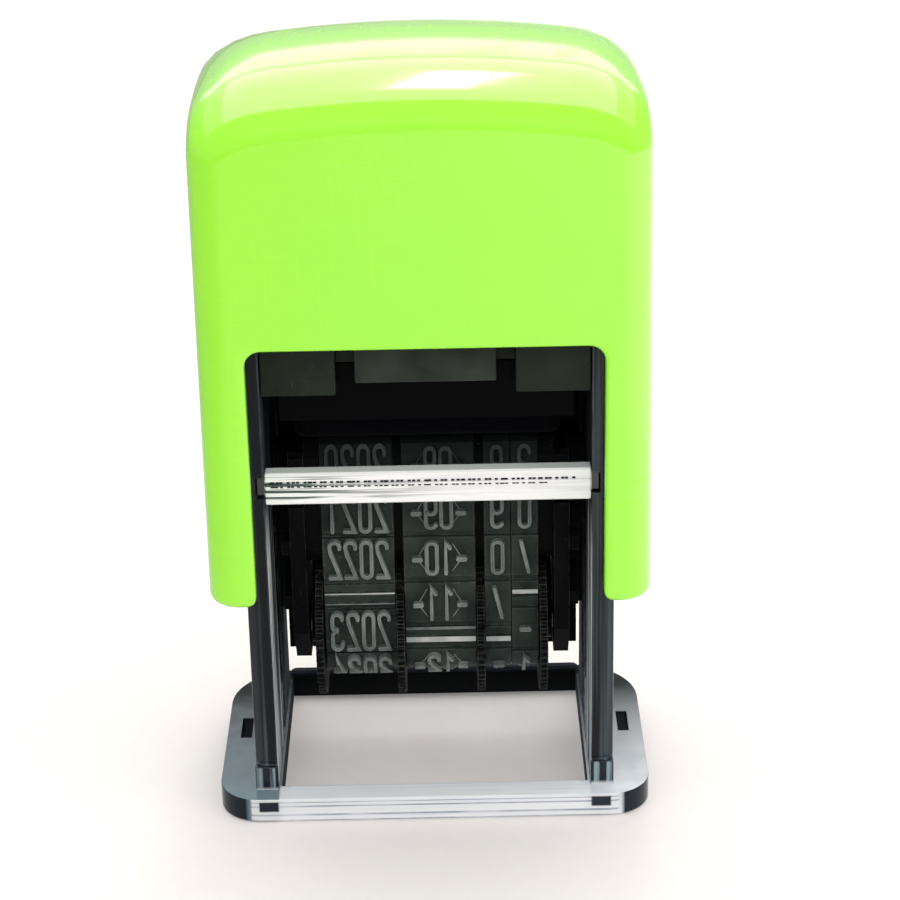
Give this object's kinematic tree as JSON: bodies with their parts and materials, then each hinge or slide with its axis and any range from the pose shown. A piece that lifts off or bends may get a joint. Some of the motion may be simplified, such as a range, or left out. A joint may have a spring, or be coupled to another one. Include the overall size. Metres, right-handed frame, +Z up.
{
  "type": "self-inking date stamp",
  "caption": "Self-inking date stamp: a glossy cover pressed down a smoke base frame turns a carriage of rubber date bands from the ink pad onto the paper; knurled dials set the date.",
  "frame": {"origin": "middle of the base underside, on the paper", "axes": "+Z up through the cover, -Y towards the open front where the dials are set, +X to the right seen from that front"},
  "size_m": [0.0428, 0.027, 0.0758],
  "materials": {
    "lime_plastic": "polished opaque lime-green moulded plastic",
    "smoke_plastic": "translucent smoke-grey moulded plastic",
    "clear_plastic": "clear moulded plastic",
    "dark_plastic": "dark grey moulded plastic",
    "black_plastic": "black moulded plastic",
    "wheel_plastic": "black knurled plastic",
    "band_rubber": "dark grey-green moulded rubber",
    "ink_felt": "felt soaked in blue ink",
    "spring_steel": "bright drawn steel"
  },
  "bodies": {
    "frame": {"base_frame": "smoke_plastic", "front_crossbar": "clear_plastic", "pad_housing": "dark_plastic", "pad_cartridge": "black_plastic", "ink_pad": "ink_felt", "return_spring": "spring_steel"},
    "cover": {"cover_shell": "lime_plastic"},
    "carriage": {"left_cheek": "black_plastic", "right_cheek": "black_plastic", "nose_bar": "black_plastic", "carriage_tie": "black_plastic", "wheel_shaft": "spring_steel", "year_band": "band_rubber", "month_band": "band_rubber", "day_units_band": "band_rubber", "day_tens_band": "band_rubber"},
    "year_dial": {"year_wheel": "wheel_plastic"},
    "month_dial": {"month_wheel": "wheel_plastic"},
    "day_units_dial": {"day_units_wheel": "wheel_plastic"},
    "day_tens_dial": {"day_tens_wheel": "wheel_plastic"}
  },
  "joints": [
    {"name": "cover_press", "type": "slide", "parent": "frame", "child": "cover", "axis": [0, 0, -1], "range_m": [0, 0.0176], "stiffness_N_per_m": 350, "springref_m": -0.01, "deforming": ["return_spring"]},
    {"name": "carriage_flip", "type": "hinge", "parent": "cover", "child": "carriage", "pos_m": [0, 0, 0.0278], "axis": [-1, 0, 0], "range_deg": [0, 180]},
    {"name": "year_turn", "type": "hinge", "parent": "carriage", "child": "year_dial", "pos_m": [0, 0, 0.0152], "axis": [1, 0, 0], "continuous": true},
    {"name": "month_turn", "type": "hinge", "parent": "carriage", "child": "month_dial", "pos_m": [0, 0, 0.0152], "axis": [1, 0, 0], "continuous": true},
    {"name": "day_units_turn", "type": "hinge", "parent": "carriage", "child": "day_units_dial", "pos_m": [0, 0, 0.0152], "axis": [1, 0, 0], "continuous": true},
    {"name": "day_tens_turn", "type": "hinge", "parent": "carriage", "child": "day_tens_dial", "pos_m": [0, 0, 0.0152], "axis": [1, 0, 0], "continuous": true}
  ],
  "couplings": [
    {"joint": "carriage_flip", "follows": "cover_press", "rad_per_m": 178.5}
  ]
}
